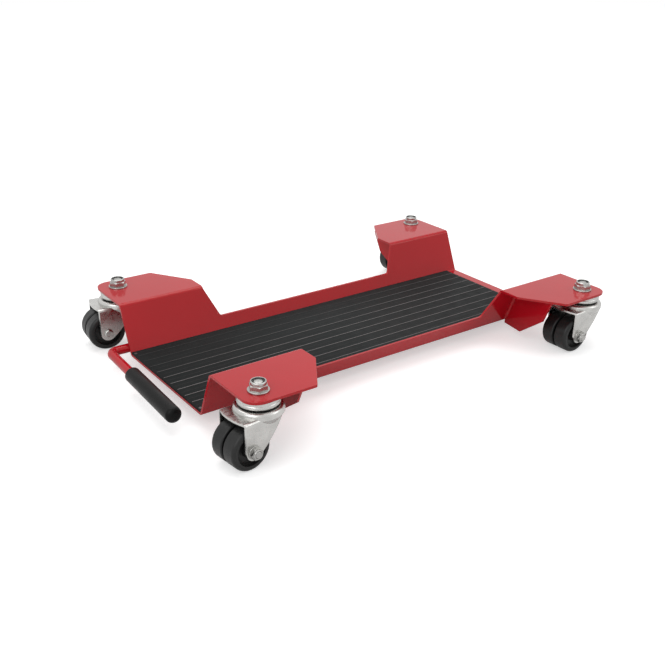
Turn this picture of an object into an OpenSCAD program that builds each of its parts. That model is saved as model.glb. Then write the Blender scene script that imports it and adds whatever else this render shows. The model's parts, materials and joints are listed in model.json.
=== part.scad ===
// Motorcycle mover: a bent steel tray with a rubber mat, carried low between
// four twin-wheel swivel casters, with a bent rod handle at one end.
// X runs from the handle end to the far end, Y runs across, Z is up from the ground.
// The near side is -Y. Modules are drawn with X = 0 at the tray's handle end.

/* [Tray] */
// Length of the bent tray
tray_len = 573; // [480:1:700]
// Width across the bottom corners of the floor
floor_w = 190; // [150:1:220]
// Width across the outer edges of the ears
ear_span = 411; // [400:1:460]
// Thickness of the steel sheet
sheet_t = 3; // [2:0.1:4]
// Inside radius of the bends
bend_r = 2.5; // [1.5:0.1:4]
// Lean of the side walls from upright, in degrees
wall_lean = 23; // [15:0.5:26]
// Gap between the ground and the floor
floor_clear = 16.5; // [13:0.5:22]
// Height of the low side walls between the ears
low_wall_h = 22; // [15:0.5:30]
// Length of each ear along the tray
ear_len = 120.5; // [110:0.5:150]
// Run of the sloping wall end below each ear
slope_run = 17.3; // [10:0.1:25]
// Radius where the sloping end meets the low wall
slope_fillet = 5; // [2:0.5:8]
// Width of the slanted cut on each ear, in from the outer edge
taper_w = 55.3; // [40:0.1:65]
// Length of the slanted cut on each ear
taper_l = 36.4; // [20:0.1:45]
// Radius that eases the two corners of the slanted cut
taper_ease = 3; // [1:0.5:6]
// Distance from the swivel axis to the end and to the outer edge of an ear
stem_inset = 25; // [22:0.5:30]
// Radius of the rounded outer corner of each ear
ear_round = 18; // [12:0.5:25]

/* [Mat] */
// Thickness of the rubber mat
mat_t = 2.5; // [1.5:0.1:4]
// Length of the mat from the handle end
mat_len = 549; // [440:1:570]
// Gap between the mat and the start of each bend
mat_gap = 0.9; // [0.3:0.1:3]
// Spacing of the raised lines along the mat
rib_pitch = 17.9; // [12:0.1:30]
// Width of a raised line
rib_w = 1.4; // [0.8:0.1:3]
// Height of a raised line
rib_h = 0.6; // [0.3:0.1:1.2]
// Plain border where the raised lines stop short of the mat's ends
rib_border = 5; // [2:0.5:20]
// Distance of the corner rivets from the mat's edges
rivet_inset = 3.5; // [3:0.5:12]
// Diameter of the rivet shank
rivet_d = 2.4; // [2:0.1:3]
// Diameter of the rivet head
rivet_head_d = 4.4; // [4:0.1:6]
// Height of the rivet head
rivet_head_h = 0.8; // [0.6:0.1:1.6]

/* [Gussets] */
// Thickness of a gusset plate
gusset_t = 3; // [2:0.1:4]
// Distance from the tray's end to the middle of a gusset, at the wall
gusset_x = 79; // [74:0.5:90]
// Slant of the far-end gussets towards the middle, in degrees
far_slant = 10; // [0:0.5:11]
// Depth of a gusset below the floor
gusset_drop = 3; // [0:0.5:6]
// Length of a gusset's bottom edge, from the floor's corner
gusset_foot = 36.5; // [25:0.5:45]
// Reach of a gusset's outer corner, from the floor's corner
gusset_knee = 80; // [70:0.5:82]
// Height of that outer corner above the floor's underside
gusset_knee_h = 29.5; // [26:0.5:34]
// Reach of a gusset's tip at the ear, from the floor's corner
gusset_tip = 93.5; // [85:0.5:96]
// Radius of the notch that clears the upper bend
gusset_notch = 6.5; // [4:0.5:9]

/* [Handle] */
// Diameter of the handle rod
rod_d = 12; // [10:0.5:14]
// Height of the rod's axis above the floor's underside
rod_h = 7.5; // [6.5:0.5:12]
// Length of rod that lies along the wall
rod_seat = 58; // [30:1:60]
// Weld gap between the rod and the wall
rod_gap = 0.1; // [0.05:0.05:0.3]
// Distance from the tray's end to the rod's axis at its bend
handle_out = 24.4; // [22:0.2:40]
// Bend radius of the rod's axis
rod_bend = 10; // [8:0.5:14]
// Angle that the rod turns through, in degrees
rod_turn = 88; // [85:0.5:90]
// Length of bare rod between the bend and the grip
rod_free = 64; // [40:1:80]
// Diameter of the grip
grip_d = 20; // [17:0.5:24]
// Length of the grip
grip_len = 123; // [90:1:130]
// Thickness of the grip's closed end
grip_cap = 6; // [3:0.5:10]
// Rounding of the grip's closed end
grip_round = 6; // [2:0.5:7]
// Radial gap between the grip and the rod
grip_fit = 0.05; // [0.02:0.01:0.1]

/* [Caster] */
// Wheel diameter
wheel_d = 50; // [46:1:52]
// Width of one wheel
wheel_w = 18.8; // [16:0.1:19]
// Gap between the two wheels
twin_gap = 3; // [2:0.1:5]
// Radius of the wheel's shoulders
shoulder_r = 4; // [2:0.5:6]
// Distance from the swivel axis back to the axle
trail = 25; // [22:0.5:27]
// Outward turn of the handle-end casters as they stand, in degrees
front_toe = 6; // [0:0.5:12]
// Gap between the wheels and the yoke's top plate
wheel_clear = 7.8; // [6:0.1:9]
// Thickness of the yoke's sheet
yoke_t = 2.5; // [2:0.1:3]
// Half the space between the yoke's legs
leg_in = 21.8; // [21.6:0.1:24]
// Outer radius of the yoke's top corners
yoke_corner = 4; // [3:0.5:6]
// Reach of the yoke's rear edge behind the swivel axis
yoke_rear = 39.1; // [38:0.1:42]
// Radius of the bow of that rear edge
rear_bow = 70; // [60:5:300]
// Radius of the boss round the axle
boss_r = 10; // [9:0.1:11]
// Radius of the curved front edge of the legs
leg_bow = 120; // [90:5:300]
// Radius of the crown
crown_r = 28.4; // [26:0.1:29]
// Height of the crown above the top plate
crown_h = 5.3; // [5:0.1:8]
// Rounding of the crown's shoulder
crown_round = 4.5; // [2:0.5:5]
// Depth down the legs over which the crown blends out
blend_h = 7; // [4:0.5:14]
// Gap between the crown and the race
race_gap = 1.9; // [1.6:0.1:3]
// Height of the race under the ear
race_h = 9.5; // [8.5:0.1:12]
// Radius of the race
race_r = 24; // [22:0.1:25]
// Rounding of the race's two edges
race_round = 4; // [2:0.5:4]
// Diameter of a bearing ball
ball_d = 6; // [5:0.1:6.5]
// Radius of the circle of balls
ball_ring = 15; // [14.5:0.1:16]
// Least gap from one ball to the next
ball_space = 0.25; // [0.1:0.05:1]
// Radial gap round a ball
ball_fit = 0.08; // [0.03:0.01:0.2]
// Least metal below the balls' track in the yoke
track_floor = 2; // [1.5:0.1:2.5]

/* [Fasteners] */
// Diameter of the king bolt
bolt_d = 12; // [10:0.5:12]
// Hex size of the king bolt's head and nut
bolt_af = 19; // [17:0.5:20]
// Height of the king bolt's head
bolt_head_h = 7; // [6:0.5:7.5]
// Radial gap round the king bolt
bolt_fit = 0.1; // [0.05:0.05:0.3]
// Radial gap round the king bolt in the ear
ear_hole_fit = 0.5; // [0.2:0.1:1]
// Diameter of the washer on the ear
washer_d = 24.6; // [23:0.1:30]
// Thickness of that washer
washer_t = 2; // [1.5:0.1:3]
// Height of the lock nut's hex
nut_hex_h = 6; // [5:0.5:9]
// Height of the lock nut's collar
nut_collar_h = 4; // [3:0.5:6]
// Depth of the king bolt's end below the top of the nut
bolt_below_nut = 2; // [1:0.1:3]
// Wall of the king sleeve
king_wall = 1.9; // [1.5:0.1:2.5]
// Radius of the king sleeve's flange
flange_r = 13; // [11:0.5:14]
// Thickness of the king sleeve's flange
flange_t = 1.5; // [1:0.1:2]
// Running gap at the swivel, round and under the king sleeve
swivel_fit = 0.08; // [0.03:0.01:0.1]
// Diameter of the axle bolt
axle_d = 8; // [6:0.5:8]
// Hex size of the axle nut
axle_af = 13; // [11:0.5:14]
// Height of the axle nut
axle_nut_h = 4.5; // [4:0.1:6]
// Height of the axle bolt's low round head
axle_head_h = 3.5; // [2.5:0.1:4]
// Diameter of that head
axle_head_d = 12; // [11:0.5:14]
// Diameter of the shallow dish in that head
axle_dish_d = 6.4; // [4:0.1:7]
// Depth of that dish
axle_dish_h = 0.8; // [0.4:0.1:1.5]
// Length of thread that shows past the axle nut
axle_proud = 1.8; // [0.5:0.1:3]
// Diameter of the axle washer
axle_washer_d = 16; // [14:0.5:18]
// Thickness of the axle washer
axle_washer_t = 1.6; // [1:0.1:2]
// Wall of the axle sleeve
sleeve_wall = 1.9; // [1.5:0.1:2.5]
// Radial gap round the axle bolt
axle_fit = 0.1; // [0.05:0.05:0.2]
// Radial running gap between a wheel and the axle sleeve
wheel_fit = 0.06; // [0.02:0.01:0.1]
// Wall of a wheel's hub round that gap
hub_wall = 3.9; // [2.5:0.1:5]

/* [Hidden] */
$fn = 96;

// Heights of the caster, from the ground up
axle_z = wheel_d / 2;
plate_under = wheel_d + wheel_clear;
plate_top = plate_under + yoke_t;
crown_top = plate_top + crown_h;
race_under = crown_top + race_gap;
ear_under = race_under + race_h;
ear_top = ear_under + sheet_t;

// Bends of the tray, in the plane across it
bend_out = bend_r + sheet_t;
turn = 90 - wall_lean;
wall_dir = [sin(wall_lean), cos(wall_lean)];
bevel = sheet_t * tan(turn / 2);
floor_top = floor_clear + sheet_t;
mat_top = floor_top + mat_t;
low_corner = [floor_w / 2, floor_clear];
low_inner = low_corner + [-bevel, sheet_t];
low_tangent = bend_out * tan(turn / 2);
wall_start = low_corner + low_tangent * wall_dir;
top_corner = [floor_w / 2 + (ear_under - floor_clear) * tan(wall_lean), ear_under];
top_inner = top_corner + [-bevel, sheet_t];
flat_half = floor_w / 2 - low_tangent;

// Places of the casters
stem_y = ear_span / 2 - stem_inset;
far_x = tray_len - stem_inset;

// Handle, worked out from the wall that it is welded to
rod_z = floor_clear + rod_h;
rod_y = floor_w / 2 + rod_h * tan(wall_lean) + (rod_d / 2 + rod_gap) / cos(wall_lean);
arc_x = rod_bend - handle_out;
arc_centre = [arc_x, rod_y - rod_bend];
arc_end = arc_centre + rod_bend * [cos(90 + rod_turn), sin(90 + rod_turn)];
run_dir = [-cos(rod_turn), -sin(rod_turn)];
grip_start = arc_end + rod_free * run_dir;
grip_end = grip_start + grip_len * run_dir;

// Middle of the whole object along X, which is where the origin lies
x_low = grip_end[0] - grip_d / 2;
x_high = far_x + crown_r;
origin_x = (x_low + x_high) / 2;

// Swivel parts
king_in = bolt_d / 2 + bolt_fit;
king_out = king_in + king_wall;
ball_z = (crown_top + race_under) / 2;
ball_n = floor(360 / (2 * asin((ball_d + ball_space) / (2 * ball_ring))));
seal_in = ball_ring + ball_d / 2 + 1;
seal_out = race_r - 0.75 * race_round;
seal_gap = 0.3;
recess_in = flange_r + 1.5;
recess_out = leg_in - 1;
recess_top = ball_z - ball_d / 2 - ball_fit - track_floor;
flange_under = plate_under - swivel_fit - flange_t;

// Axle parts, out along the axle from the middle of the caster
leg_out = leg_in + yoke_t;
end_play = 0.05;
sleeve_in = axle_d / 2 + axle_fit;
sleeve_out = sleeve_in + sleeve_wall;
hub_r = sleeve_out + hub_wall;
hub_play = 0.2;
rim_t = 6.5;
web_t = 7;
nut_out = leg_out + axle_washer_t + axle_nut_h;
axle_end = nut_out + axle_proud;
edge_ease = 0.5;
reach = 400;

function unit(v) = v / norm(v);

// The piece that is cut from the sharp corner v to round it to radius r,
// where a and b are unit directions along its two sides. The piece runs past
// the sides, and the arc meets them at a very slight angle.
module corner_bit(v, a, b, r) {
    half = acos(a * b) / 2;
    run = r / tan(half);
    centre = v + unit(a + b) * r / sin(half);
    past = 1.4;
    slack = 0.003;
    difference() {
        polygon([
            centre, centre + past * (v + run * a - centre),
            centre + past * (v - centre), centre + past * (v + run * b - centre)
        ]);
        translate(centre) circle(r + slack);
    }
}

// Extrudes an outline drawn in Y and Z along X, from 0 to len.
module along_x(len) {
    rotate([90, 0, 90]) linear_extrude(len) children();
}

// Extrudes an outline drawn in X and Z along Y, over the full width.
module across_y(half) {
    translate([0, half, 0]) rotate([90, 0, 0]) linear_extrude(2 * half) children();
}

// Puts the model's origin on the ground below the middle of the object.
module placed() {
    translate([-origin_x, 0, 0]) children();
}

// What lies below and outside the bent sheet, on one side.
module below_sheet() {
    far = ear_span;
    difference() {
        polygon([
            low_corner - wall_dir, top_corner, [far, ear_under], [far, low_corner[1] - wall_dir[1]]
        ]);
        corner_bit(top_corner, [1, 0], -wall_dir, bend_r);
    }
    corner_bit(low_corner, [-1, 0], wall_dir, bend_out);
}

// What lies above and inside the bent sheet, on one side.
module above_sheet() {
    over = [0, 1];
    difference() {
        polygon([
            [-1, floor_top], low_inner, top_inner, top_inner + over, [-1, ear_top] + over
        ]);
        corner_bit(low_inner, [-1, 0], wall_dir, bend_r);
    }
    corner_bit(top_inner, [1, 0], -wall_dir, bend_out);
}

// The bent sheet's cross-section, with X across and Y up.
module sheet_section() {
    difference() {
        translate([-ear_span / 2, floor_clear]) square([ear_span, ear_top - floor_clear]);
        for (side = [0, 1]) mirror([side, 0]) {
            below_sheet();
            above_sheet();
        }
    }
}

// What is cut away between the ears, above the low walls.
module side_window() {
    low_z = floor_clear + low_wall_h;
    x0 = ear_len + slope_run;
    slope = unit([-slope_run, ear_under - low_z]);
    difference() {
        polygon([
            [x0, low_z], [ear_len, ear_under], [ear_len, ear_top + 1],
            [tray_len - ear_len, ear_top + 1], [tray_len - ear_len, ear_under],
            [tray_len - x0, low_z]
        ]);
        corner_bit([x0, low_z], [1, 0], slope, slope_fillet);
        corner_bit([tray_len - x0, low_z], [-1, 0], [-slope[0], slope[1]], slope_fillet);
    }
}

// What is trimmed off one ear in plan: the slanted cut and the rounded corner.
module ear_trim() {
    out_y = ear_span / 2;
    inner = [ear_len, out_y - taper_w];
    outer = [ear_len - taper_l, out_y];
    slant = unit(outer - inner);
    polygon([inner, outer, outer + [0, 1], [ear_len + 1, out_y + 1], inner + [1, 0]]);
    corner_bit(inner, slant, [0, -1], taper_ease);
    corner_bit(outer, -slant, [-1, 0], taper_ease);
    translate([-1, out_y - ear_round]) difference() {
        square(ear_round + 1);
        translate([ear_round + 1, 0]) circle(ear_round);
        translate([ear_round + 1, -1]) square(ear_round + 2);
    }
}

module each_corner() {
    for (x = [0, 1], y = [0, 1])
        translate([x * tray_len, 0, 0]) mirror([x, 0, 0]) mirror([0, y, 0]) children();
}

module deck_tray() {
    color("firebrick") placed() difference() {
        along_x(tray_len) sheet_section();
        across_y(reach) side_window();
        each_corner() translate([0, 0, ear_under - 1]) {
            linear_extrude(sheet_t + 2) ear_trim();
            translate([stem_inset, stem_y, 0])
                cylinder(h = sheet_t + 2, r = bolt_d / 2 + ear_hole_fit);
        }
        rivet_places() translate([0, 0, floor_clear - 1])
            cylinder(h = sheet_t + 2, r = rivet_d / 2 + bolt_fit);
    }
}

mat_half = flat_half - mat_gap;

// The raised lines lie evenly on both sides of the mat's middle.
rib_n = floor((mat_half - rib_w) / rib_pitch + 0.5);

module rubber_mat() {
    color("dimgray") placed() difference() {
        union() {
            translate([0, -mat_half, floor_top]) cube([mat_len, 2 * mat_half, mat_t]);
            for (i = [0 : rib_n - 1], side = [-1, 1])
                translate([rib_border, side * (i + 0.5) * rib_pitch - rib_w / 2, floor_top])
                    cube([mat_len - 2 * rib_border, rib_w, mat_t + rib_h]);
        }
        rivet_places() translate([0, 0, floor_top - 1])
            cylinder(h = mat_t + rib_h + 2, r = rivet_d / 2 + bolt_fit);
    }
}

module rivet_places() {
    for (side = [-1, 1])
        translate([rivet_inset, side * (mat_half - rivet_inset), 0]) children();
}

module mat_rivets() {
    tail_r = rivet_head_d / 2 - 0.4;
    color("silver") placed() rivet_places() rotate_extrude() {
        translate([0, floor_clear - rivet_head_h]) square([tail_r, rivet_head_h]);
        translate([0, floor_clear - rivet_head_h])
            square([rivet_d / 2, mat_top - floor_clear + rivet_head_h]);
        difference() {
            translate([0, mat_top]) square([rivet_head_d / 2, rivet_head_h]);
            corner_bit([rivet_head_d / 2, mat_top + rivet_head_h], [-1, 0], [0, -1], 0.5);
        }
    }
}

// One gusset at the near handle-end corner. Its inner edge follows the wall.
module gusset(slant) {
    over = 6;
    foot_z = floor_clear - gusset_drop;
    out = 1 / cos(slant);
    base = wall_start[0];
    edge = floor_w / 2;
    difference() {
        translate([gusset_x, base, 0]) rotate([0, 0, -slant])
            translate([-gusset_t / 2, 0, 0]) along_x(gusset_t) polygon([
                [-over, foot_z],
                [(edge + gusset_foot - base) * out, foot_z],
                [(edge + gusset_knee - base) * out, floor_clear + gusset_knee_h],
                [(edge + gusset_tip - base) * out, ear_under],
                [-over, ear_under]
            ]);
        along_x(ear_len) polygon([
            [0, 0], [wall_start[0], 0], wall_start, top_corner + wall_dir,
            [0, top_corner[1] + wall_dir[1]]
        ]);
        translate([0, top_corner[0], top_corner[1]]) rotate([0, 90, 0])
            cylinder(h = ear_len, r = gusset_notch);
    }
}

// Draws its children, made for the far side of the handle end, at one corner.
module at_corner(rear, far) {
    placed() translate([rear * tray_len, 0, 0]) mirror([rear, 0, 0])
        mirror([0, 1 - far, 0]) children();
}

module gusset_near_front() { color("firebrick") at_corner(0, 0) gusset(0); }
module gusset_far_front() { color("firebrick") at_corner(0, 1) gusset(0); }
module gusset_near_rear() { color("firebrick") at_corner(1, 0) gusset(far_slant); }
module gusset_far_rear() { color("firebrick") at_corner(1, 1) gusset(far_slant); }

module handle_rod() {
    run = rod_free + grip_len - grip_cap;
    thin = 0.05;
    over = 2;
    color("firebrick") placed() translate([0, 0, rod_z]) {
        translate([arc_x, rod_y, 0]) rotate([0, 90, 0])
            cylinder(h = rod_seat - arc_x, r = rod_d / 2);
        translate([arc_centre[0], arc_centre[1], 0]) rotate([0, 0, 90 - over])
            rotate_extrude(angle = rod_turn + 2 * over)
                translate([rod_bend, 0]) circle(rod_d / 2 - thin);
        translate([arc_end[0], arc_end[1], 0]) rotate([0, 0, 180 + rod_turn])
            rotate([0, 90, 0]) cylinder(h = run, r = rod_d / 2);
    }
}

module handle_grip() {
    mouth_round = 1.5;
    r = grip_d / 2;
    color("dimgray") placed() translate([grip_start[0], grip_start[1], rod_z])
        rotate([0, 0, 180 + rod_turn]) rotate([0, 90, 0]) rotate_extrude() difference() {
            square([r, grip_len]);
            translate([-1, -1])
                square([rod_d / 2 + grip_fit + 1, grip_len - grip_cap + 1 + grip_fit]);
            corner_bit([r, 0], [-1, 0], [0, 1], mouth_round);
            corner_bit([r, grip_len], [-1, 0], [0, -1], grip_round);
        }
}

// Places its children on the swivel axis of one caster, as it stands, with +X
// pointing back towards the axle and +Y pointing out from the tray.
module caster_at(rear, far) {
    toe = rear == 1 ? 0 : front_toe;
    placed() mirror([0, far, 0]) translate([rear == 1 ? far_x : stem_inset, -stem_y, 0])
        rotate([0, 0, 180 + toe]) children();
}

// The same, on the swivel axis of all four casters.
module each_caster() {
    for (rear = [0, 1], far = [0, 1]) caster_at(rear, far) children();
}

// The same, on the axle: +Z runs out along it.
module axle_at(rear, far) {
    caster_at(rear, far) translate([trail, 0, axle_z]) rotate([-90, 0, 0]) children();
}

module hex_prism(af, h) {
    cylinder(h = h, r = af / sqrt(3), $fn = 6);
}

// A hex prism whose upper corners are turned down to a cone.
module hex_nut(af, h) {
    rim = af / 2 / cos(30);
    drop = (rim - af / 2) * tan(30);
    intersection() {
        hex_prism(af, h);
        rotate_extrude() polygon([
            [0, 0], [rim + 1, 0], [rim + 1, h - drop - tan(30)], [af / 2, h], [0, h]
        ]);
    }
}

module king_bolt() {
    top = ear_top + washer_t + nut_hex_h + nut_collar_h - bolt_below_nut;
    tip = 0.8;
    translate([0, 0, flange_under]) mirror([0, 0, 1]) hex_nut(bolt_af, bolt_head_h);
    rotate_extrude() difference() {
        translate([0, flange_under]) square([bolt_d / 2, top - flange_under]);
        polygon([
            [bolt_d / 2, top - tip], [bolt_d / 2 + 1, top - tip],
            [bolt_d / 2 + 1, top + 1], [bolt_d / 2 - tip, top + 1], [bolt_d / 2 - tip, top]
        ]);
    }
}

module king_bolt_near_front() { color("silver") caster_at(0, 0) king_bolt(); }
module king_bolt_far_front() { color("silver") caster_at(0, 1) king_bolt(); }
module king_bolt_near_rear() { color("silver") caster_at(1, 0) king_bolt(); }
module king_bolt_far_rear() { color("silver") caster_at(1, 1) king_bolt(); }

module king_washers() {
    color("silver") each_caster() translate([0, 0, ear_top]) rotate_extrude() difference() {
        translate([bolt_d / 2 + bolt_fit, 0])
            square([(washer_d - bolt_d) / 2 - bolt_fit, washer_t]);
        corner_bit([washer_d / 2, washer_t], [-1, 0], [0, -1], edge_ease);
    }
}

// Lock nuts, each with a round collar above the hex that holds a nylon ring.
module king_nuts() {
    collar_r = bolt_af / 2 - 0.4;
    lip_r = bolt_d / 2 + 1.4;
    collar_round = 1;
    color("silver") each_caster() translate([0, 0, ear_top + washer_t]) difference() {
        union() {
            hex_nut(bolt_af, nut_hex_h);
            rotate_extrude() difference() {
                translate([0, nut_hex_h - 1]) square([collar_r, nut_collar_h + 1]);
                corner_bit(
                    [collar_r, nut_hex_h + nut_collar_h], [-1, 0], [0, -1], collar_round
                );
            }
        }
        translate([0, 0, -1])
            cylinder(h = nut_hex_h + nut_collar_h + 2, r = bolt_d / 2 + bolt_fit);
        translate([0, 0, nut_hex_h + nut_collar_h - bolt_below_nut])
            cylinder(h = bolt_below_nut + 1, r = lip_r);
    }
}

module king_sleeve() {
    rotate_extrude() {
        translate([king_in, flange_under]) square([flange_r - king_in, flange_t]);
        translate([king_in, flange_under]) square([king_wall, race_under - flange_under]);
    }
}

module king_sleeve_near_front() { color("gray") caster_at(0, 0) king_sleeve(); }
module king_sleeve_far_front() { color("gray") caster_at(0, 1) king_sleeve(); }
module king_sleeve_near_rear() { color("gray") caster_at(1, 0) king_sleeve(); }
module king_sleeve_far_rear() { color("gray") caster_at(1, 1) king_sleeve(); }

// The fixed race: a pressed ring under the ear with the balls' track below.
module race() {
    rotate_extrude() difference() {
        translate([king_in, race_under]) square([race_r - king_in, race_h]);
        corner_bit([race_r, race_under], [-1, 0], [0, 1], race_round);
        corner_bit([race_r, ear_under], [-1, 0], [0, -1], race_round);
        translate([ball_ring, ball_z]) circle(ball_d / 2 + ball_fit);
    }
}

module race_near_front() { color("silver") caster_at(0, 0) race(); }
module race_far_front() { color("silver") caster_at(0, 1) race(); }
module race_near_rear() { color("silver") caster_at(1, 0) race(); }
module race_far_rear() { color("silver") caster_at(1, 1) race(); }

module race_seals() {
    color("black") each_caster() rotate_extrude()
        translate([seal_in, crown_top + seal_gap])
            square([seal_out - seal_in, race_gap - seal_gap]);
}

module balls() {
    for (i = [0 : ball_n - 1])
        rotate([0, 0, i * 360 / ball_n]) translate([ball_ring, 0, ball_z]) sphere(ball_d / 2);
}

module balls_near_front() { color("lightgray") caster_at(0, 0) balls(); }
module balls_far_front() { color("lightgray") caster_at(0, 1) balls(); }
module balls_near_rear() { color("lightgray") caster_at(1, 0) balls(); }
module balls_far_rear() { color("lightgray") caster_at(1, 1) balls(); }

// Side outline of a leg, with X back from the swivel axis and Y up. The front
// edge is an arc through the crown's side that runs smoothly into the boss.
module leg_outline() {
    boss = [trail, axle_z];
    front = [-sqrt(crown_r * crown_r - leg_out * leg_out), plate_top];
    gap = norm(boss - front);
    to_boss = unit(boss - front);
    square_off = [-to_boss[1], to_boss[0]];
    part = (leg_bow * leg_bow - pow(leg_bow - boss_r, 2) + gap * gap) / (2 * gap);
    centre = front + part * to_boss + sqrt(leg_bow * leg_bow - part * part) * square_off;
    touch = unit(boss - centre);
    translate(boss) circle(boss_r);
    intersection() {
        translate(centre) circle(leg_bow, $fn = 360);
        polygon([
            [-crown_r * 2, plate_top], [yoke_rear + 1, plate_top], [yoke_rear + 1, axle_z],
            boss, boss + crown_r * 2 * touch, [-crown_r * 2, boss[1] + crown_r * 2 * touch[1]]
        ]);
    }
}

// Cross-section of the yoke's channel, with X across and Y up.
module channel() {
    corner_in = yoke_corner - yoke_t;
    difference() {
        translate([-leg_out, 0]) square([2 * leg_out, plate_top]);
        for (side = [-1, 1])
            corner_bit([side * leg_out, plate_top], [-side, 0], [0, -1], yoke_corner);
        difference() {
            translate([-leg_in, -1]) square([2 * leg_in, plate_under + 1]);
            for (side = [-1, 1])
                corner_bit([side * leg_in, plate_under], [-side, 0], [0, -1], corner_in);
        }
    }
}

module yoke() {
    difference() {
        union() {
            intersection() {
                translate([-crown_r * 2, 0, 0]) along_x(crown_r * 2 + yoke_rear) channel();
                across_y(reach) leg_outline();
                translate([yoke_rear - rear_bow, 0, 0])
                    cylinder(h = plate_top, r = rear_bow, $fn = 360);
            }
            intersection() {
                translate([0, 0, plate_under - blend_h])
                    cylinder(h = blend_h, r1 = leg_out, r2 = crown_r);
                across_y(reach) leg_outline();
                difference() {
                    translate([-reach / 2, -reach / 2, 0]) cube([reach, reach, plate_top]);
                    translate([-reach / 2, -leg_in - 1, -1])
                        cube([reach, 2 * leg_in + 2, plate_top + 2]);
                }
            }
            rotate_extrude() difference() {
                translate([0, plate_under]) square([crown_r, crown_top - plate_under]);
                corner_bit([crown_r, crown_top], [-1, 0], [0, -1], crown_round);
            }
        }
        rotate_extrude() {
            translate([0, plate_under - 1]) square([king_out + swivel_fit, crown_top]);
            translate([recess_in, plate_under - 1])
                square([recess_out - recess_in, recess_top - plate_under + 1]);
            translate([ball_ring, ball_z + ball_fit]) circle(ball_d / 2 + ball_fit);
        }
        translate([trail, -reach / 2, axle_z]) rotate([-90, 0, 0])
            cylinder(h = reach, r = axle_d / 2 + axle_fit);
    }
}

module yoke_near_front() { color("silver") caster_at(0, 0) yoke(); }
module yoke_far_front() { color("silver") caster_at(0, 1) yoke(); }
module yoke_near_rear() { color("silver") caster_at(1, 0) yoke(); }
module yoke_far_rear() { color("silver") caster_at(1, 1) yoke(); }

module axle_bolt() {
    head_r = axle_head_d / 2;
    head_z = -leg_out - axle_head_h;
    tip = 0.8;
    rotate_extrude() difference() {
        union() {
            translate([0, head_z]) square([head_r, axle_head_h]);
            translate([0, -leg_out - 1]) square([axle_d / 2, axle_end + leg_out + 1]);
        }
        corner_bit([head_r, head_z], [-1, 0], [0, 1], axle_head_h / 2);
        corner_bit([axle_d / 2, axle_end], [-1, 0], [0, -1], tip);
        translate([0, head_z - 1]) square([axle_dish_d / 2, axle_dish_h + 1]);
    }
}

module axle_bolt_near_front() { color("silver") axle_at(0, 0) axle_bolt(); }
module axle_bolt_far_front() { color("silver") axle_at(0, 1) axle_bolt(); }
module axle_bolt_near_rear() { color("silver") axle_at(1, 0) axle_bolt(); }
module axle_bolt_far_rear() { color("silver") axle_at(1, 1) axle_bolt(); }

module axle_washer() {
    translate([0, 0, leg_out]) rotate_extrude() difference() {
        translate([sleeve_in, 0]) square([axle_washer_d / 2 - sleeve_in, axle_washer_t]);
        corner_bit([axle_washer_d / 2, axle_washer_t], [-1, 0], [0, -1], edge_ease);
    }
}

module axle_washer_near_front() { color("silver") axle_at(0, 0) axle_washer(); }
module axle_washer_far_front() { color("silver") axle_at(0, 1) axle_washer(); }
module axle_washer_near_rear() { color("silver") axle_at(1, 0) axle_washer(); }
module axle_washer_far_rear() { color("silver") axle_at(1, 1) axle_washer(); }

module axle_nut() {
    translate([0, 0, leg_out + axle_washer_t]) difference() {
        hex_nut(axle_af, axle_nut_h);
        translate([0, 0, -1]) cylinder(h = axle_nut_h + 2, r = sleeve_in);
    }
}

module axle_nut_near_front() { color("silver") axle_at(0, 0) axle_nut(); }
module axle_nut_far_front() { color("silver") axle_at(0, 1) axle_nut(); }
module axle_nut_near_rear() { color("silver") axle_at(1, 0) axle_nut(); }
module axle_nut_far_rear() { color("silver") axle_at(1, 1) axle_nut(); }

// The tube that the legs clamp, on which both wheels turn.
module axle_sleeve() {
    half = leg_in - end_play;
    rotate_extrude() translate([sleeve_in, -half]) square([sleeve_wall, 2 * half]);
}

module axle_sleeve_near_front() { color("gray") axle_at(0, 0) axle_sleeve(); }
module axle_sleeve_far_front() { color("gray") axle_at(0, 1) axle_sleeve(); }
module axle_sleeve_near_rear() { color("gray") axle_at(1, 0) axle_sleeve(); }
module axle_sleeve_far_rear() { color("gray") axle_at(1, 1) axle_sleeve(); }

// One wheel of the pair, on the +Z side: rim, web and a hub that meets the leg.
module wheel() {
    r = wheel_d / 2;
    z0 = twin_gap / 2;
    z1 = z0 + wheel_w;
    mid = (z0 + z1) / 2;
    bore = sleeve_out + wheel_fit;
    inner_ease = shoulder_r / 2;
    difference() {
        rotate_extrude() {
            difference() {
                translate([r - rim_t, z0]) square([rim_t, wheel_w]);
                corner_bit([r, z0], [-1, 0], [0, 1], inner_ease);
                corner_bit([r, z1], [-1, 0], [0, -1], shoulder_r);
            }
            translate([bore, mid - web_t / 2]) square([r - rim_t / 2 - bore, web_t]);
            translate([bore, hub_play]) square([hub_r - bore, leg_in - 2 * hub_play]);
        }
    }
}

module wheel_out_near_front() { color("black") axle_at(0, 0) wheel(); }
module wheel_out_far_front() { color("black") axle_at(0, 1) wheel(); }
module wheel_out_near_rear() { color("black") axle_at(1, 0) wheel(); }
module wheel_out_far_rear() { color("black") axle_at(1, 1) wheel(); }
module wheel_in_near_front() { color("black") axle_at(0, 0) mirror([0, 0, 1]) wheel(); }
module wheel_in_far_front() { color("black") axle_at(0, 1) mirror([0, 0, 1]) wheel(); }
module wheel_in_near_rear() { color("black") axle_at(1, 0) mirror([0, 0, 1]) wheel(); }
module wheel_in_far_rear() { color("black") axle_at(1, 1) mirror([0, 0, 1]) wheel(); }

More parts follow.
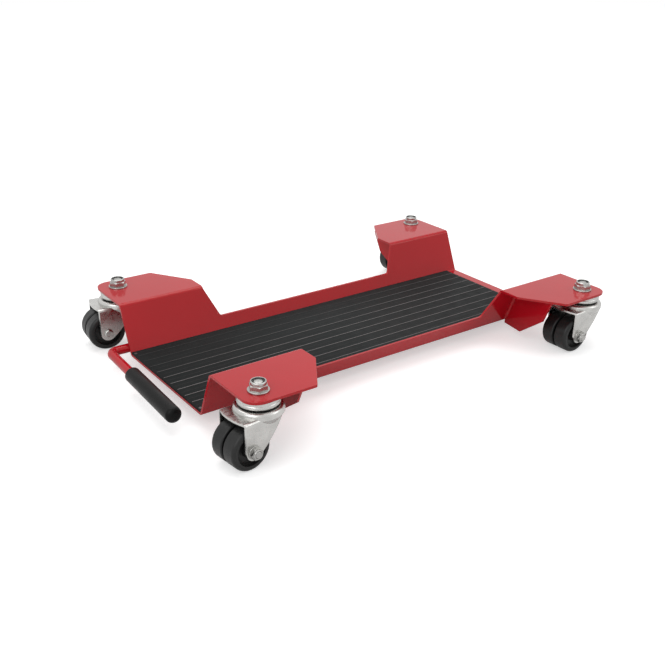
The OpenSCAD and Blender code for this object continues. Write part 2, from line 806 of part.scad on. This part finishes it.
deck_tray();
rubber_mat();
mat_rivets();
gusset_near_front();
gusset_far_front();
gusset_near_rear();
gusset_far_rear();
handle_rod();
handle_grip();
king_nuts();
king_washers();
race_seals();
king_bolt_near_front();
king_bolt_far_front();
king_bolt_near_rear();
king_bolt_far_rear();
king_sleeve_near_front();
king_sleeve_far_front();
king_sleeve_near_rear();
king_sleeve_far_rear();
race_near_front();
race_far_front();
race_near_rear();
race_far_rear();
yoke_near_front();
yoke_far_front();
yoke_near_rear();
yoke_far_rear();
balls_near_front();
balls_far_front();
balls_near_rear();
balls_far_rear();
axle_bolt_near_front();
axle_bolt_far_front();
axle_bolt_near_rear();
axle_bolt_far_rear();
axle_nut_near_front();
axle_nut_far_front();
axle_nut_near_rear();
axle_nut_far_rear();
axle_washer_near_front();
axle_washer_far_front();
axle_washer_near_rear();
axle_washer_far_rear();
axle_sleeve_near_front();
axle_sleeve_far_front();
axle_sleeve_near_rear();
axle_sleeve_far_rear();
wheel_out_near_front();
wheel_out_far_front();
wheel_out_near_rear();
wheel_out_far_rear();
wheel_in_near_front();
wheel_in_far_front();
wheel_in_near_rear();
wheel_in_far_rear();
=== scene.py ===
"""Motorcycle mover dolly: materials, mat, welds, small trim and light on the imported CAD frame."""
import json
import math
import random

import bmesh
import bpy
from mathutils import Matrix, Vector


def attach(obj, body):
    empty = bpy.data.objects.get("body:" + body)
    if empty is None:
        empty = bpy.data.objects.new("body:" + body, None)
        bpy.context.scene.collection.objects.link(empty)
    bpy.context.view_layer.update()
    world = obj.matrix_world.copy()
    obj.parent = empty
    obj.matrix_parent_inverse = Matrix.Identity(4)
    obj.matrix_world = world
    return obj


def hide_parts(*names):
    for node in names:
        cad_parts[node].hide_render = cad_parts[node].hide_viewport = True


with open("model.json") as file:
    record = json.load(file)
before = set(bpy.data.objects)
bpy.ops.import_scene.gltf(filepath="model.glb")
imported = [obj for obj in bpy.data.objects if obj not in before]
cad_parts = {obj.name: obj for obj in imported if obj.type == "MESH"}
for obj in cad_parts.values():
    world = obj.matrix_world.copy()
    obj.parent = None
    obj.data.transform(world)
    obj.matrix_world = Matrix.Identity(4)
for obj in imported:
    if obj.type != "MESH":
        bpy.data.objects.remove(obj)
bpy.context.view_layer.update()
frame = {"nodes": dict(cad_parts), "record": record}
random.seed(7)

MM = 0.001
CORNERS = ("near_front", "far_front", "near_rear", "far_rear")

# Camera, fitted to the photograph: angles in radians, the focal length as a share
# of the frame's width, and the place in metres.
YAW = 0.638
PITCH = 0.425
ROLL = 0.019
FOCAL = 1.331
CAMERA_AT = Vector((-0.67384, -0.8916, 0.5235))
SENSOR_WIDTH = 36
NEAR_CLIP = 0.01


def make_camera():
    look = Vector((
        math.cos(PITCH) * math.sin(YAW), math.cos(PITCH) * math.cos(YAW), -math.sin(PITCH)))
    level_right = Vector((math.cos(YAW), -math.sin(YAW), 0))
    level_up = level_right.cross(look)
    right = level_right * math.cos(ROLL) + level_up * math.sin(ROLL)
    up = level_up * math.cos(ROLL) - level_right * math.sin(ROLL)
    data = bpy.data.cameras.new("photo_camera")
    data.sensor_width = SENSOR_WIDTH
    data.lens = SENSOR_WIDTH * FOCAL
    data.clip_start = NEAR_CLIP
    camera = bpy.data.objects.new("photo_camera", data)
    bpy.context.scene.collection.objects.link(camera)
    turn = Matrix((right, up, -look)).transposed()
    camera.matrix_world = Matrix.Translation(CAMERA_AT) @ turn.to_4x4()
    bpy.context.scene.camera = camera


make_camera()
bpy.context.scene.view_settings.view_transform = "Standard"

# Materials. Most of a noise's values lie between these two.
NOISE_LOW = 0.3
NOISE_HIGH = 0.7
BEVEL_SAMPLES = 6
# The colour sockets of a Mix node, which share their names with its other sockets.
MIX_FACTOR = 0
MIX_FIRST = 6
MIX_SECOND = 7
MIX_RESULT = 2

# How far roughness wanders to each side, and the share of a zinc's tint in its darker clouds.
RUBBER_WANDER = 0.07
ZINC_SMOOTHER = 0.06
ZINC_ROUGHER = 0.09
ZINC_SHADE = 0.80
RED_LOW = (0.42, 0.0045, 0.012)
RED_HIGH = (0.465, 0.006, 0.0145)
RED_GLOSS_TINT = (0.97, 1, 0.90, 1)
MAT_LOW = (0.0215, 0.0235, 0.0235)
MAT_HIGH = (0.025, 0.027, 0.027)
# The painted highlight on the crests of the mat's low and high lines: the heights in metres where
# each starts and is full, and its grey, whose green and blue are a little less than its red.
LOW_CREST_HIGHLIGHT = (0.02205, 0.0222, 0.04)
HIGH_CREST_HIGHLIGHT = (0.0223, 0.0225, 0.20)
CREST_HIGHLIGHT_TINT = 0.94
# The painted highlight on the crests is full where Y - 0.1 X is under the start, and least past the
# end.
CREST_HIGHLIGHT_SLANT = -0.1
CREST_HIGHLIGHT_START = 0.007
CREST_HIGHLIGHT_END = 0.077
LEAST_CREST_HIGHLIGHT = 0.12


class Nodes:
    """A material with a Principled shader, and short ways to add nodes."""

    def __init__(self, name):
        self.mat = bpy.data.materials.new(name)
        self.mat.use_nodes = True
        self.tree = self.mat.node_tree
        self.bsdf = self.tree.nodes["Principled BSDF"]
        self.coord = self.tree.nodes.new("ShaderNodeTexCoord")
        self.normal = None

    def set(self, **values):
        for key, value in values.items():
            self.bsdf.inputs[key.replace("_", " ")].default_value = value

    def node(self, kind, **inputs):
        node = self.tree.nodes.new(kind)
        for key, value in inputs.items():
            node.inputs[key.replace("_", " ")].default_value = value
        return node

    def link(self, source, target):
        self.tree.links.new(source, target)

    def math(self, operation, first, second):
        """A Math node; each of the two is an output to link or a number."""
        node = self.node("ShaderNodeMath")
        node.operation = operation
        for value, socket in zip((first, second), node.inputs):
            if isinstance(value, bpy.types.NodeSocket):
                self.link(value, socket)
            else:
                socket.default_value = value
        return node

    def noise(self, scale, detail=2.0, rough=0.5, stretch=None):
        node = self.node("ShaderNodeTexNoise", Scale=scale, Detail=detail, Roughness=rough)
        source = self.coord.outputs["Object"]
        if stretch:
            mapping = self.node("ShaderNodeMapping", Scale=stretch)
            self.link(source, mapping.inputs["Vector"])
            source = mapping.outputs["Vector"]
        self.link(source, node.inputs["Vector"])
        return node.outputs["Fac"]

    def spread(self, value, low, high, start=NOISE_LOW, end=NOISE_HIGH):
        """Turns the range from start to end into the range from low to high."""
        node = self.node("ShaderNodeMapRange")
        node.inputs["From Min"].default_value = start
        node.inputs["From Max"].default_value = end
        node.inputs["To Min"].default_value = low
        node.inputs["To Max"].default_value = high
        self.link(value, node.inputs["Value"])
        return node.outputs["Result"]

    def clouds(self, low, high, **noise):
        """A colour that wanders between two."""
        node = self.node("ShaderNodeValToRGB")
        stops = ((NOISE_LOW, low), (NOISE_HIGH, high))
        for element, (position, colour) in zip(node.color_ramp.elements, stops):
            element.position = position
            element.color = (*colour, 1)
        self.link(self.noise(**noise), node.inputs["Fac"])
        return node.outputs["Color"]

    def colour(self, value):
        self.link(value, self.bsdf.inputs["Base Color"])

    def roughness(self, low, high, **noise):
        self.link(self.spread(self.noise(**noise), low, high), self.bsdf.inputs["Roughness"])

    def bump(self, value, strength, distance):
        node = self.node("ShaderNodeBump", Strength=strength, Distance=distance)
        self.link(value, node.inputs["Height"])
        if self.normal:
            self.link(self.normal, node.inputs["Normal"])
        self.normal = node.outputs["Normal"]
        self.link(self.normal, self.bsdf.inputs["Normal"])

    def soften(self, radius):
        """Rounds the look of sharp edges."""
        node = self.node("ShaderNodeBevel", Radius=radius)
        node.samples = BEVEL_SAMPLES
        self.normal = node.outputs["Normal"]
        self.link(self.normal, self.bsdf.inputs["Normal"])


def grey(value):
    return (value, value, value)


def red_paint():
    m = Nodes("red_powder_coat")
    m.soften(radius=0.7 * MM)
    m.colour(m.clouds(RED_LOW, RED_HIGH, scale=9, detail=3, rough=0.55))
    m.roughness(low=0.09, high=0.15, scale=30, detail=3)
    m.set(Specular_IOR_Level=0.32, Specular_Tint=RED_GLOSS_TINT)
    m.bump(m.noise(scale=420), strength=0.10, distance=0.4 * MM)
    m.bump(m.noise(scale=1900, detail=1), strength=0.05, distance=0.2 * MM)
    return m.mat


def zinc(name, rough, tint, streak=(1, 1, 1)):
    """Plated steel, cloudy, with a fine grain that can be drawn out along an axis."""
    m = Nodes(name)
    m.soften(radius=0.35 * MM)
    shade = tuple(ZINC_SHADE * t for t in tint)
    m.colour(m.clouds(shade, tint, scale=60, detail=4, rough=0.6))
    m.roughness(rough - ZINC_SMOOTHER, rough + ZINC_ROUGHER, scale=180, detail=4, rough=0.6)
    m.set(Metallic=1.0)
    grain = m.noise(scale=900, detail=3, rough=0.6, stretch=streak)
    m.bump(grain, strength=0.10, distance=0.2 * MM)
    m.bump(m.noise(scale=140), strength=0.06, distance=0.6 * MM)
    return m.mat


def rubber(name, low, high, rough, grain, depth, gloss=0.3):
    m = Nodes(name)
    m.soften(radius=0.35 * MM)
    m.colour(m.clouds(grey(low), grey(high), scale=24, detail=4, rough=0.6))
    m.roughness(rough - RUBBER_WANDER, rough + RUBBER_WANDER, scale=70, detail=3)
    m.set(Specular_IOR_Level=gloss)
    m.bump(m.noise(scale=grain, detail=3, rough=0.6), strength=0.35, distance=depth)
    return m.mat


def ribbed_mat():
    """The mat's rubber, with a painted highlight lightening the crests of its raised lines."""
    m = Nodes("ribbed_mat")
    m.soften(radius=0.3 * MM)
    colour = m.clouds(MAT_LOW, MAT_HIGH, scale=24, detail=4, rough=0.6)
    split = m.node("ShaderNodeSeparateXYZ")
    m.link(m.coord.outputs["Object"], split.inputs[0])
    # The painted highlight on the lines is least in the far corner of the handle end.
    slant = m.math("MULTIPLY_ADD", split.outputs["X"], CREST_HIGHLIGHT_SLANT)
    m.link(split.outputs["Y"], slant.inputs[2])
    highlight_share = m.spread(
        slant.outputs[0], low=1, high=LEAST_CREST_HIGHLIGHT, start=CREST_HIGHLIGHT_START, end=CREST_HIGHLIGHT_END)
    # Each pass mixes a painted highlight grey into the colour on the crests of one set of lines.
    for start, end, highlight_grey in (LOW_CREST_HIGHLIGHT, HIGH_CREST_HIGHLIGHT):
        height = m.spread(split.outputs["Z"], low=0, high=1, start=start, end=end)
        crest = m.math("MULTIPLY", height, highlight_share)
        mix = m.node("ShaderNodeMix")
        mix.data_type = "RGBA"
        m.link(crest.outputs[0], mix.inputs[MIX_FACTOR])
        m.link(colour, mix.inputs[MIX_FIRST])
        mix.inputs[MIX_SECOND].default_value = (highlight_grey, CREST_HIGHLIGHT_TINT * highlight_grey, CREST_HIGHLIGHT_TINT * highlight_grey, 1)
        colour = mix.outputs[MIX_RESULT]
    m.colour(colour)
    m.roughness(low=0.58, high=0.70, scale=70, detail=3)
    m.set(Specular_IOR_Level=0.05)
    m.bump(m.noise(scale=1500, detail=3, rough=0.6), strength=0.35, distance=0.3 * MM)
    drawn_out = m.noise(scale=260, detail=3, rough=0.6, stretch=(0.15, 1, 1))
    m.bump(drawn_out, strength=0.25, distance=0.4 * MM)
    return m.mat


MATERIALS = {
    "red_paint": red_paint(),
    "mat_rubber": ribbed_mat(),
    "grip_rubber": rubber(
        "grip_sleeve", low=0.0033, high=0.0048, rough=0.32, grain=1100, depth=0.2 * MM,
        gloss=0.13),
    "wheel_black": rubber(
        "nylon_wheel", low=0.011, high=0.017, rough=0.36, grain=1300, depth=0.25 * MM),
    "seal_black": rubber(
        "race_seal", low=0.005, high=0.008, rough=0.55, grain=900, depth=0.1 * MM),
    "zinc_bright": zinc("zinc_turned", rough=0.20, tint=(0.47, 0.465, 0.45), streak=(1, 1, 6)),
    "zinc_pressed": zinc("zinc_pressed", rough=0.27, tint=(0.60, 0.595, 0.575)),
    "steel_sleeve": zinc("oiled_steel", rough=0.28, tint=(0.50, 0.49, 0.47), streak=(1, 1, 5)),
    "ball_steel": zinc("bearing_steel", rough=0.10, tint=(0.72, 0.72, 0.73)),
}
CUT_STEEL = zinc("cut_thread_end", rough=0.36, tint=(0.42, 0.415, 0.40))
DARK_RIVET = zinc("darkened_rivet", rough=0.42, tint=grey(0.11))
NYLON = rubber("nylon_insert", low=0.05, high=0.07, rough=0.4, grain=900, depth=0.1 * MM)

for part in frame["record"]["subparts"]:
    obj = frame["nodes"][part["node"]]
    obj.data.materials.clear()
    obj.data.materials.append(MATERIALS[part["material_slot"]])
frame["nodes"]["mat_rivets"].data.materials[0] = DARK_RIVET

# Sizes of the CAD model that the added pieces sit on, in millimetres.
ORIGIN_X = 267.74
TRAY_LEN = 573
LEAN = math.radians(23)
FLOOR_Z = 16.5
FLOOR_EDGE = 95
EAR_Z = 77
GUSSET_X = 79
GUSSET_T = 3
GUSSET_BASE = 96.42
FAR_SLANT = math.radians(10)
ROD_R = 6
ROD_Y = 104.81
ROD_Z = 24
STEM_Y = 180.5
STEM_IN = 25
FRONT_TOE = math.radians(6)
TRAIL = 25
AXLE_Z = 25

# The mat, in millimetres. A line's two numbers are half its width and its height.
MAT_START = 0.3
MAT_LEN = 554
MAT_FLOOR = 19.5
MAT_TOP = 22.0
MAT_GAP = 0.25
WALL_FOOT = 93.01
LINE_PITCH = 9.2
LINES_EACH_SIDE = 10
LINE_START = 1.5
LINE_END = MAT_LEN - 1.2
LINE_ROOT = 0.5
LINE_FACETS = 8
HIGH_LINE = (0.7, 0.6)
LOW_LINE = (0.4, 0.25)
# How a line narrows at its ends: the distance from the end, and the share of its section.
LINE_TAPER = ((0, 0.45), (0.5, 0.8), (1.2, 1))

# Weld beads, in millimetres: where each starts and ends, its radius, and its place.
WALL_BEAD_Z = (20.5, 69.5)
WALL_BEAD_R = 3.2
WALL_BEAD_RIPPLE = 2.6
WALL_BEAD_OUT = 0.6
EAR_BEADS_Y = ((128.5, 148), (163, 184))
EAR_BEAD_R = 1.8
EAR_BEAD_DROP = 0.4
BEAD_OFF_PLATE = 0.5
ROD_BEADS_X = ((2.5, 27), (36, 57))
ROD_BEAD_R = 1.5
ROD_BEAD_UP = 3.7
ROD_BEAD_OUT = 0.8
ROD_GAP = 0.1

# How a bead swells along its length: by its scales, and slowly, in radians per metre.
BEAD_RIPPLE = 1.7
BEAD_SLICE = 0.28
BEAD_SLICES_LEAST = 12
BEAD_AROUND = 12
BEAD_BASE = 0.90
SCALE_SWELL = 0.16
SLOW_SWELL = 0.05
SLOW_WAVE = 520
SLOW_START = 6.28
BEAD_END = 1.6
BEAD_END_LEAST = 0.02

# Outlines of radius and height, in millimetres: the pressed cover round the foot of
# a race, the round collar of an axle's lock nut, and the rounded end of a king bolt.
RACE_COVER = [
    (24.06, 72.6), (24.06, 69.5), (23.9, 68.7), (23.5, 68.0), (22.9, 67.5), (22.2, 67.3),
    (20.8, 67.3), (20.8, 72.6)]
NUT_COLLAR = [
    (4.15, 30.2), (5.9, 30.2), (5.9, 30.9), (5.75, 31.4), (5.4, 31.8), (4.95, 31.95),
    (4.5, 31.9), (4.15, 31.6)]
KING_TIP = [
    (5.15, 89.7), (5.15, 90.45), (4.95, 90.75), (4.4, 91.05), (3.4, 91.3), (2.0, 91.42),
    (0.5, 91.45)]
# Rings, in millimetres: radius, height, and half the thickness.
NYLON_RING = (6.72, 90.25, 0.62)
TREAD_LINE = (24.93, 10.9, 0.14)
HUB_LINE = (15.2, 14.4, 0.45)


def at(x, y, z):
    """A point in metres in the row frame, from millimetres along the tray."""
    return Vector(((x - ORIGIN_X) * MM, y * MM, z * MM))


def corner_signs(corner):
    """Whether the corner is at the rear, and the sign of its Y."""
    return corner.endswith("rear"), 1 if corner.startswith("far") else -1


def at_corner(corner, x, y, z):
    """The same as at(), with x from the corner's own end and y outwards."""
    rear, side = corner_signs(corner)
    return at(TRAY_LEN - x if rear else x, y * side, z)


def caster_matrix(corner):
    """Swivel axis of one caster: +X back to the axle, +Y out from the tray."""
    rear, side = corner_signs(corner)
    toe = 0 if rear else FRONT_TOE
    turn = Matrix.Rotation(math.pi + toe, 4, "Z")
    base = at(TRAY_LEN - STEM_IN if rear else STEM_IN, -STEM_Y, 0)
    matrix = Matrix.Translation(base) @ turn
    if side > 0:
        matrix = Matrix.Diagonal((1, -1, 1, 1)) @ matrix
    return matrix


def axle_matrix(corner):
    """Axle of one caster: +Z out along it."""
    shift = Matrix.Translation((TRAIL * MM, 0, AXLE_Z * MM))
    return caster_matrix(corner) @ shift @ Matrix.Rotation(-math.pi / 2, 4, "X")


def piece(name, shape, material, body):
    """A smooth mesh object that rides on a body."""
    verts, faces = shape
    mesh = bpy.data.meshes.new(name)
    mesh.from_pydata([tuple(v) for v in verts], [], faces)
    mesh.validate()
    bm = bmesh.new()
    bm.from_mesh(mesh)
    bmesh.ops.recalc_face_normals(bm, faces=bm.faces)
    bm.to_mesh(mesh)
    bm.free()
    for poly in mesh.polygons:
        poly.use_smooth = True
    obj = bpy.data.objects.new(name, mesh)
    bpy.context.scene.collection.objects.link(obj)
    mesh.materials.append(material)
    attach(obj, body)
    return obj


def join(shapes):
    """Several lists of points and faces as one."""
    verts, faces = [], []
    for more_verts, more_faces in shapes:
        base = len(verts)
        verts += more_verts
        faces += [tuple(i + base for i in face) for face in more_faces]
    return verts, faces


def skin(rows, around, closed):
    """Faces between rows of points. Closed joins the last row to the first, open gets end caps."""
    faces = []
    for i in range(rows if closed else rows - 1):
        low, high = i * around, (i + 1) % rows * around
        for k in range(around):
            n = (k + 1) % around
            faces.append((low + k, low + n, high + n, high + k))
    if not closed:
        faces.append(tuple(reversed(range(around))))
        faces.append(tuple(range((rows - 1) * around, rows * around)))
    return faces


def tube(path, radii, around=10, closed=False):
    """A round bar along a path."""
    verts = []
    last = len(path) - 1
    across = None
    for i, point in enumerate(path):
        if closed:
            along = path[(i + 1) % len(path)] - path[i - 1]
        else:
            along = path[min(i + 1, last)] - path[max(i - 1, 0)]
        along.normalize()
        if across is None:
            across = along.orthogonal().normalized()
        across = (across - along * across.dot(along)).normalized()
        side = along.cross(across)
        for k in range(around):
            a = 2 * math.pi * k / around
            verts.append(point + radii[i] * (math.cos(a) * across + math.sin(a) * side))
    return verts, skin(len(path), around, closed)


def circle(matrix, radius, z, around):
    """Points in metres on a circle round +Z of the matrix, from millimetres."""
    points = []
    for i in range(around):
        a = 2 * math.pi * i / around
        points.append(matrix @ Vector((
            radius * MM * math.cos(a), radius * MM * math.sin(a), z * MM)))
    return points


def lathe(profile, matrix, around=48, closed=False):
    """A solid turned round +Z of the matrix from points of radius and height.

    A closed profile makes a ring. Otherwise a disc closes each end.
    """
    verts = []
    for radius, z in profile:
        verts += circle(matrix, radius, z, around)
    return verts, skin(len(profile), around, closed)


def ring(radius, z, thick, matrix, around=64):
    return tube(circle(matrix, radius, z, around), [thick * MM] * around, closed=True)


def bar_along(outline, stations):
    """A solid along the tray, its outline of y and z shrunk about a point at each station."""
    verts = []
    middle = sum(y for y, _ in outline) / len(outline)
    foot = min(z for _, z in outline)
    for x, keep in stations:
        for y, z in outline:
            verts.append(at(x, middle + keep * (y - middle), foot + keep * (z - foot)))
    return verts, skin(len(stations), len(outline), closed=False)


def weld(start, end, radius, ripple=BEAD_RIPPLE):
    """A straight weld bead with overlapping scales and slightly uneven width."""
    length = (end - start).length
    steps = max(BEAD_SLICES_LEAST, int(length / (BEAD_SLICE * MM)))
    path, radii = [], []
    phase = random.uniform(0, 1)
    drift = random.uniform(0, SLOW_START)
    for i in range(steps + 1):
        t = i / steps
        along = t * length
        scale = (along / (ripple * MM) + phase) % 1
        swell = SCALE_SWELL * math.sin(math.pi * scale)
        slow = SLOW_SWELL * math.sin(along * SLOW_WAVE + drift)
        to_end = min(t, 1 - t) * length / (BEAD_END * radius * MM)
        cap = min(1, math.sqrt(max(BEAD_END_LEAST, to_end)))
        path.append(start + t * (end - start))
        radii.append(radius * MM * (BEAD_BASE + swell + slow) * cap)
    return tube(path, radii, BEAD_AROUND)


def wall_y(z):
    """Y of the wall's outer face at a height."""
    return FLOOR_EDGE + (z - FLOOR_Z) * math.tan(LEAN)


def gusset_welds(corner):
    rear, _ = corner_signs(corner)
    slant = FAR_SLANT if rear else 0
    sin, cos = math.sin(slant), math.cos(slant)

    def on_plate(face, y, z):
        local_x = face * (GUSSET_T / 2 + BEAD_OFF_PLATE)
        local_y = (y - GUSSET_BASE + local_x * sin) / cos
        x = GUSSET_X + local_x * cos + local_y * sin
        return at_corner(corner, x, y, z)

    beads = []
    for face in (-1, 1):
        low, high = (on_plate(face, wall_y(z) + WALL_BEAD_OUT, z) for z in WALL_BEAD_Z)
        beads.append(weld(low, high, WALL_BEAD_R, WALL_BEAD_RIPPLE))
        for ends in EAR_BEADS_Y:
            start, end = (on_plate(face, y, EAR_Z - EAR_BEAD_DROP) for y in ends)
            beads.append(weld(start, end, EAR_BEAD_R))
    piece("gusset_weld_" + corner, join(beads), MATERIALS["red_paint"], "frame")


def handle_welds():
    normal = Vector((0, math.cos(LEAN), -math.sin(LEAN)))
    up_wall = Vector((0, math.sin(LEAN), math.cos(LEAN)))
    foot = Vector((0, ROD_Y, ROD_Z)) - (ROD_R + ROD_GAP) * normal
    beads = []
    for side in (-1, 1):
        spot = foot + side * ROD_BEAD_UP * up_wall + ROD_BEAD_OUT * normal
        for start, end in ROD_BEADS_X:
            beads.append(weld(at(start, spot.y, spot.z), at(end, spot.y, spot.z), ROD_BEAD_R))
    piece("handle_weld", join(beads), MATERIALS["red_paint"], "frame")


def mat_outline():
    """The mat's section, its edges rounded off where they meet the leaning walls."""
    lean = math.tan(LEAN)
    edge = WALL_FOOT - MAT_GAP
    side = [
        (89.6, MAT_FLOOR), (91.0, MAT_FLOOR + 0.1), (92.2, MAT_FLOOR + 0.45),
        (93.0 - MAT_GAP, MAT_FLOOR + 1.1),
        (edge + 2.1 * lean, MAT_FLOOR + 2.1),
        (edge + 2.4 * lean - 0.1, MAT_TOP - 0.05),
        (edge + 2.4 * lean - 0.5, MAT_TOP)]
    return side + [(-y, z) for y, z in reversed(side)]


def line_outline(y, half, rise):
    """The section of one raised line, from its root in the mat to its round crown."""
    turns = [math.pi * k / LINE_FACETS for k in range(LINE_FACETS + 1)]
    crown = [(y + half * math.cos(a), MAT_TOP + rise * math.sin(a)) for a in turns]
    return [(y + half, MAT_TOP - LINE_ROOT)] + crown + [(y - half, MAT_TOP - LINE_ROOT)]


def rubber_sheet():
    """The mat: its long edges reach the walls, and its lines are high and low by turns."""
    parts = [bar_along(mat_outline(), ((MAT_START, 1), (MAT_LEN, 1)))]
    stations = [(LINE_START + x, keep) for x, keep in LINE_TAPER]
    stations += [(LINE_END - x, keep) for x, keep in reversed(LINE_TAPER)]
    for i in range(-LINES_EACH_SIDE, LINES_EACH_SIDE):
        half, rise = HIGH_LINE if i % 2 == 0 else LOW_LINE
        outline = line_outline((i + 0.5) * LINE_PITCH, half, rise)
        parts.append(bar_along(outline, stations))
    mat = piece("ribbed_mat", join(parts), MATERIALS["mat_rubber"], "frame")
    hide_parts("rubber_mat")


def caster_trim(corner):
    """The small trim of one caster and of the nut on its ear."""
    swivel = caster_matrix(corner)
    axle = axle_matrix(corner)
    stem = Matrix.Translation(Vector((swivel.translation.x, swivel.translation.y, 0)))
    piece("nut_nylon_" + corner, ring(*NYLON_RING, stem), NYLON, "frame")
    piece("king_tip_" + corner, lathe(KING_TIP, stem), CUT_STEEL, "frame")
    piece("race_cover_" + corner, lathe(RACE_COVER, stem, around=96, closed=True),
          MATERIALS["zinc_pressed"], "frame")
    piece("axle_collar_" + corner, lathe(NUT_COLLAR, axle, around=64, closed=True),
          MATERIALS["zinc_bright"], "caster_" + corner)
    for way, sign in (("out", 1), ("in", -1)):
        wheel = axle @ Matrix.Diagonal((1, 1, sign, 1))
        lines = join([ring(*TREAD_LINE, wheel, around=96), ring(*HUB_LINE, wheel)])
        piece("wheel_mould_%s_%s" % (way, corner), lines,
              MATERIALS["wheel_black"], "wheel_%s_%s" % (way, corner))


rubber_sheet()
for corner in CORNERS:
    gusset_welds(corner)
handle_welds()
for corner in CORNERS:
    caster_trim(corner)

# Floor and light. The floor glows for the camera, more at a distance, so that it looks
# white, and faintly in reflections. Lengths are in metres.
FLOOR_HALF = 6
FLOOR_COLOUR = (0.74, 0.74, 0.74, 1)
FLOOR_SEEN = 0.50
FLOOR_SEEN_FAR = 0.70
FLOOR_SEEN_FROM = 0.8
FLOOR_SEEN_TO = 2.5
FLOOR_MIRRORED = 0.17
WORLD_LIGHT = 0.55
WHITE = (1, 1, 1, 1)

# Name, place, the point it shines at, size and watts of each lamp.
LAMPS = (
    ("overhead_softbox", (0.1, 0.5, 1.9), (0, 0, 0), (2.2, 1.6), 20),
    ("left_softbox", (-1.5, -0.7, 1.3), (0, 0, 0.05), (1.2, 1.2), 10),
    ("right_softbox", (1.4, -1.3, 1.5), (0.1, 0, 0.05), (1.0, 1.0), 5),
)


def make_floor():
    mesh = bpy.data.meshes.new("studio_floor")
    r = FLOOR_HALF
    mesh.from_pydata([(-r, -r, 0), (r, -r, 0), (r, r, 0), (-r, r, 0)], [], [(0, 1, 2, 3)])
    floor = bpy.data.objects.new("studio_floor", mesh)
    bpy.context.scene.collection.objects.link(floor)
    m = Nodes("studio_floor")
    m.set(Base_Color=FLOOR_COLOUR, Roughness=0.9, Specular_IOR_Level=0.1, Emission_Color=WHITE)
    path = m.node("ShaderNodeLightPath")
    mirrored = m.math("MULTIPLY", path.outputs["Is Glossy Ray"], FLOOR_MIRRORED)
    distance = m.node("ShaderNodeVectorMath")
    distance.operation = "LENGTH"
    m.link(m.coord.outputs["Object"], distance.inputs[0])
    level = m.spread(
        distance.outputs["Value"], FLOOR_SEEN, FLOOR_SEEN_FAR,
        start=FLOOR_SEEN_FROM, end=FLOOR_SEEN_TO)
    total = m.math("MULTIPLY_ADD", path.outputs["Is Camera Ray"], level)
    m.link(mirrored.outputs[0], total.inputs[2])
    m.link(total.outputs[0], m.bsdf.inputs["Emission Strength"])
    mesh.materials.append(m.mat)


def seen_or_mirrored(tree):
    """1 for rays from the camera, off a gloss or through glass, else 0."""
    path = tree.nodes.new("ShaderNodeLightPath")
    value = path.outputs["Is Camera Ray"]
    for ray in ("Is Glossy Ray", "Is Transmission Ray"):
        most = tree.nodes.new("ShaderNodeMath")
        most.operation = "MAXIMUM"
        tree.links.new(value, most.inputs[0])
        tree.links.new(path.outputs[ray], most.inputs[1])
        value = most.outputs[0]
    return value


def make_world():
    """White where it is seen or mirrored, and dimmer as a light."""
    world = bpy.data.worlds.new("studio")
    bpy.context.scene.world = world
    world.use_nodes = True
    tree = world.node_tree
    back = tree.nodes["Background"]
    back.inputs["Color"].default_value = WHITE
    level = tree.nodes.new("ShaderNodeMapRange")
    level.inputs["To Min"].default_value = WORLD_LIGHT
    level.inputs["To Max"].default_value = 1.0
    tree.links.new(seen_or_mirrored(tree), level.inputs["Value"])
    tree.links.new(level.outputs["Result"], back.inputs["Strength"])


def area_light(name, place, target, size, power):
    data = bpy.data.lights.new(name, "AREA")
    data.shape = "RECTANGLE"
    data.size, data.size_y = size
    data.energy = power
    lamp = bpy.data.objects.new(name, data)
    lamp.location = place
    aim = Vector(target) - Vector(place)
    lamp.rotation_euler = aim.to_track_quat("-Z", "Y").to_euler()
    bpy.context.scene.collection.objects.link(lamp)


make_floor()
make_world()
for lamp in LAMPS:
    area_light(*lamp)
